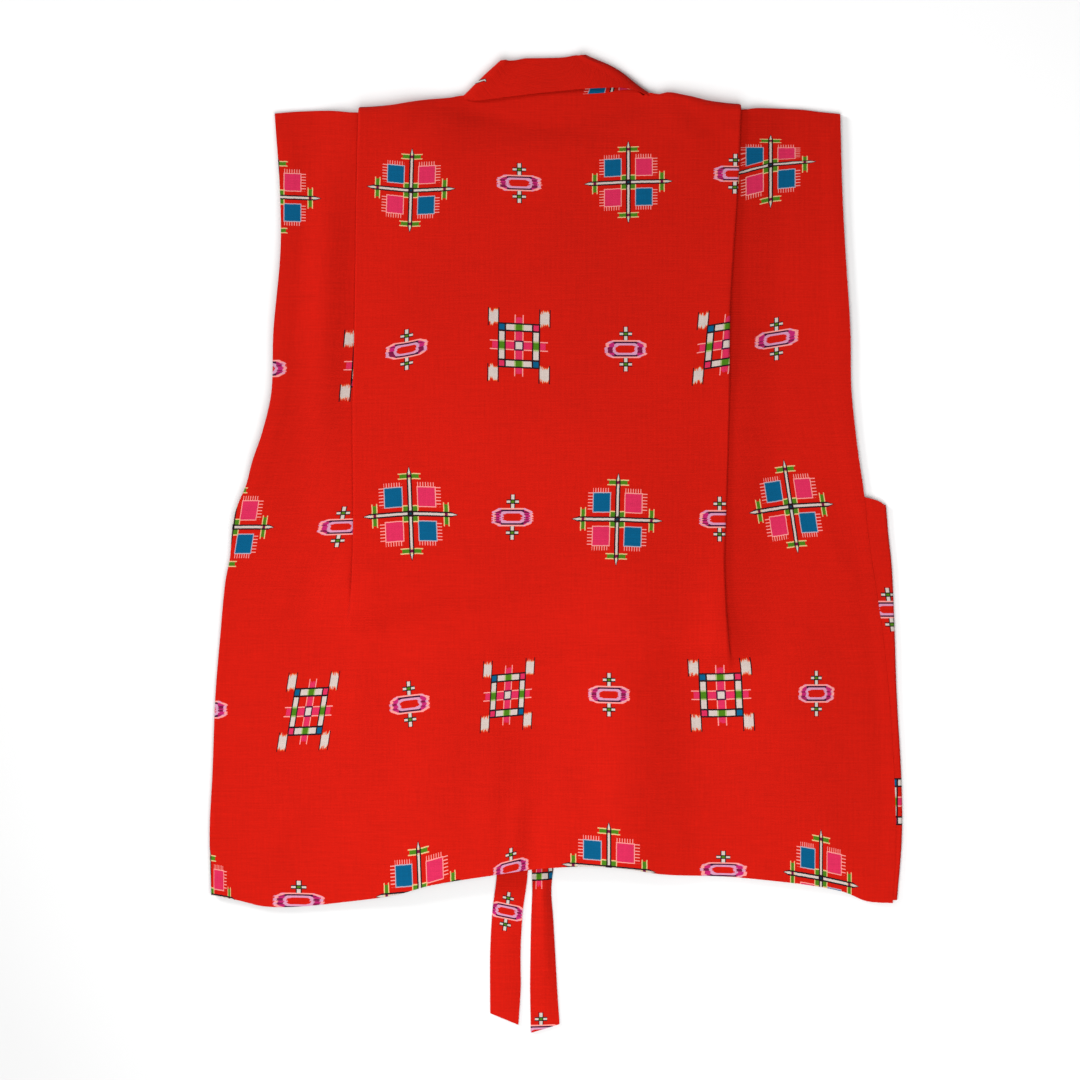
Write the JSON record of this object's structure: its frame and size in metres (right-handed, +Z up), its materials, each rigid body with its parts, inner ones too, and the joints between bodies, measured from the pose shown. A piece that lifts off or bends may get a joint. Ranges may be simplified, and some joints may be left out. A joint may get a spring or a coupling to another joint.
{
  "type": "child's sleeveless kimono vest laid flat with its back up",
  "caption": "Sleeveless kimono vest for a child, laid flat on its front: wide back with sewn shoulder tucks, folded collar band, and flat cloth ties showing below the hem.",
  "frame": {"origin": "on the surface the vest lies on, under the middle of its outline, ties included", "axes": "+Y from the hem to the collar, +X to the wearer's right, +Z up out of the vest's back"},
  "size_m": [0.346, 0.4892, 0.0101],
  "materials": {
    "cloth": "matte plain weave, red with small woven-look figures",
    "collar_cloth": "matte plain weave, red, folded double",
    "tie_cloth": "matte plain weave, red, sewn as a flat tie"
  },
  "bodies": {
    "root": {"back": "cloth", "front_left": "cloth", "front_right": "cloth", "collar": "collar_cloth", "tie_left": "tie_cloth", "tie_right": "tie_cloth"}
  },
  "joints": []
}
